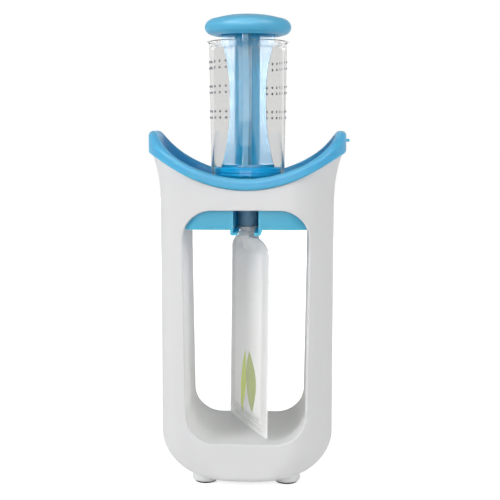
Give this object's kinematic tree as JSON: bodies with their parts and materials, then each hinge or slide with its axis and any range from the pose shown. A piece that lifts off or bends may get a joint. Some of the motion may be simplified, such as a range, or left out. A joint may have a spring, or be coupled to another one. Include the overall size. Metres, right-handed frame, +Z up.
{
  "type": "food pouch filling station",
  "caption": "Tabletop stand with an open window, a saddle-shaped tray, a clear filling tube with a fluted plunger, and a pouch hanging by its spout in rails under the tray.",
  "frame": {"origin": "on the table, at the middle of the footprint, under the filling tube's axis", "axes": "+Z up along the tube's axis, the front that the pouch slides in from faces -Y, +X to the right seen from the front"},
  "size_m": [0.1374, 0.0922, 0.3193],
  "materials": {
    "frame_plastic": "satin white moulding",
    "screw_steel": "plated",
    "foot_rubber": "matt",
    "tray_plastic": "satin sky blue moulding",
    "clear_plastic": "clear, thin-walled, standing for clear plastic",
    "knob_plastic": "soft-touch blue",
    "plunger_plastic": "glossy blue",
    "seal_rubber": "blue silicone",
    "spout_plastic": "natural white",
    "pouch_film": "silver-grey film with a green leaf print"
  },
  "bodies": {
    "stand": {"front_shell": "frame_plastic", "rear_shell": "frame_plastic", "shell_screws": "screw_steel", "foot_pad_front_left": "foot_rubber", "foot_pad_front_right": "foot_rubber", "foot_pad_rear_left": "foot_rubber", "foot_pad_rear_right": "foot_rubber"},
    "tray": {"tray": "tray_plastic"},
    "tube": {"fill_tube": "clear_plastic"},
    "plunger": {"plunger_knob": "knob_plastic", "plunger_stem": "plunger_plastic", "piston": "plunger_plastic", "piston_seal": "seal_rubber"},
    "spout": {"pouch_spout": "spout_plastic"},
    "bag": {"pouch_bag": "pouch_film"}
  },
  "joints": [
    {"name": "tray_lift", "type": "slide", "parent": "stand", "child": "tray", "axis": [0, 0, 1], "range_m": [0, 0.08]},
    {"name": "tube_lift", "type": "slide", "parent": "tray", "child": "tube", "axis": [0, 0, 1], "range_m": [0, 0.06]},
    {"name": "plunger_press", "type": "slide", "parent": "tube", "child": "plunger", "axis": [0, 0, 1], "range_m": [0, 0.085]},
    {"name": "pouch_slide", "type": "slide", "parent": "tray", "child": "spout", "axis": [0, -1, 0], "range_m": [0, 0.08]},
    {"name": "pouch_swivel", "type": "hinge", "parent": "spout", "child": "bag", "pos_m": [0, 0, 0.1671], "axis": [0, 0, 1], "range_deg": [-60, 23]}
  ]
}
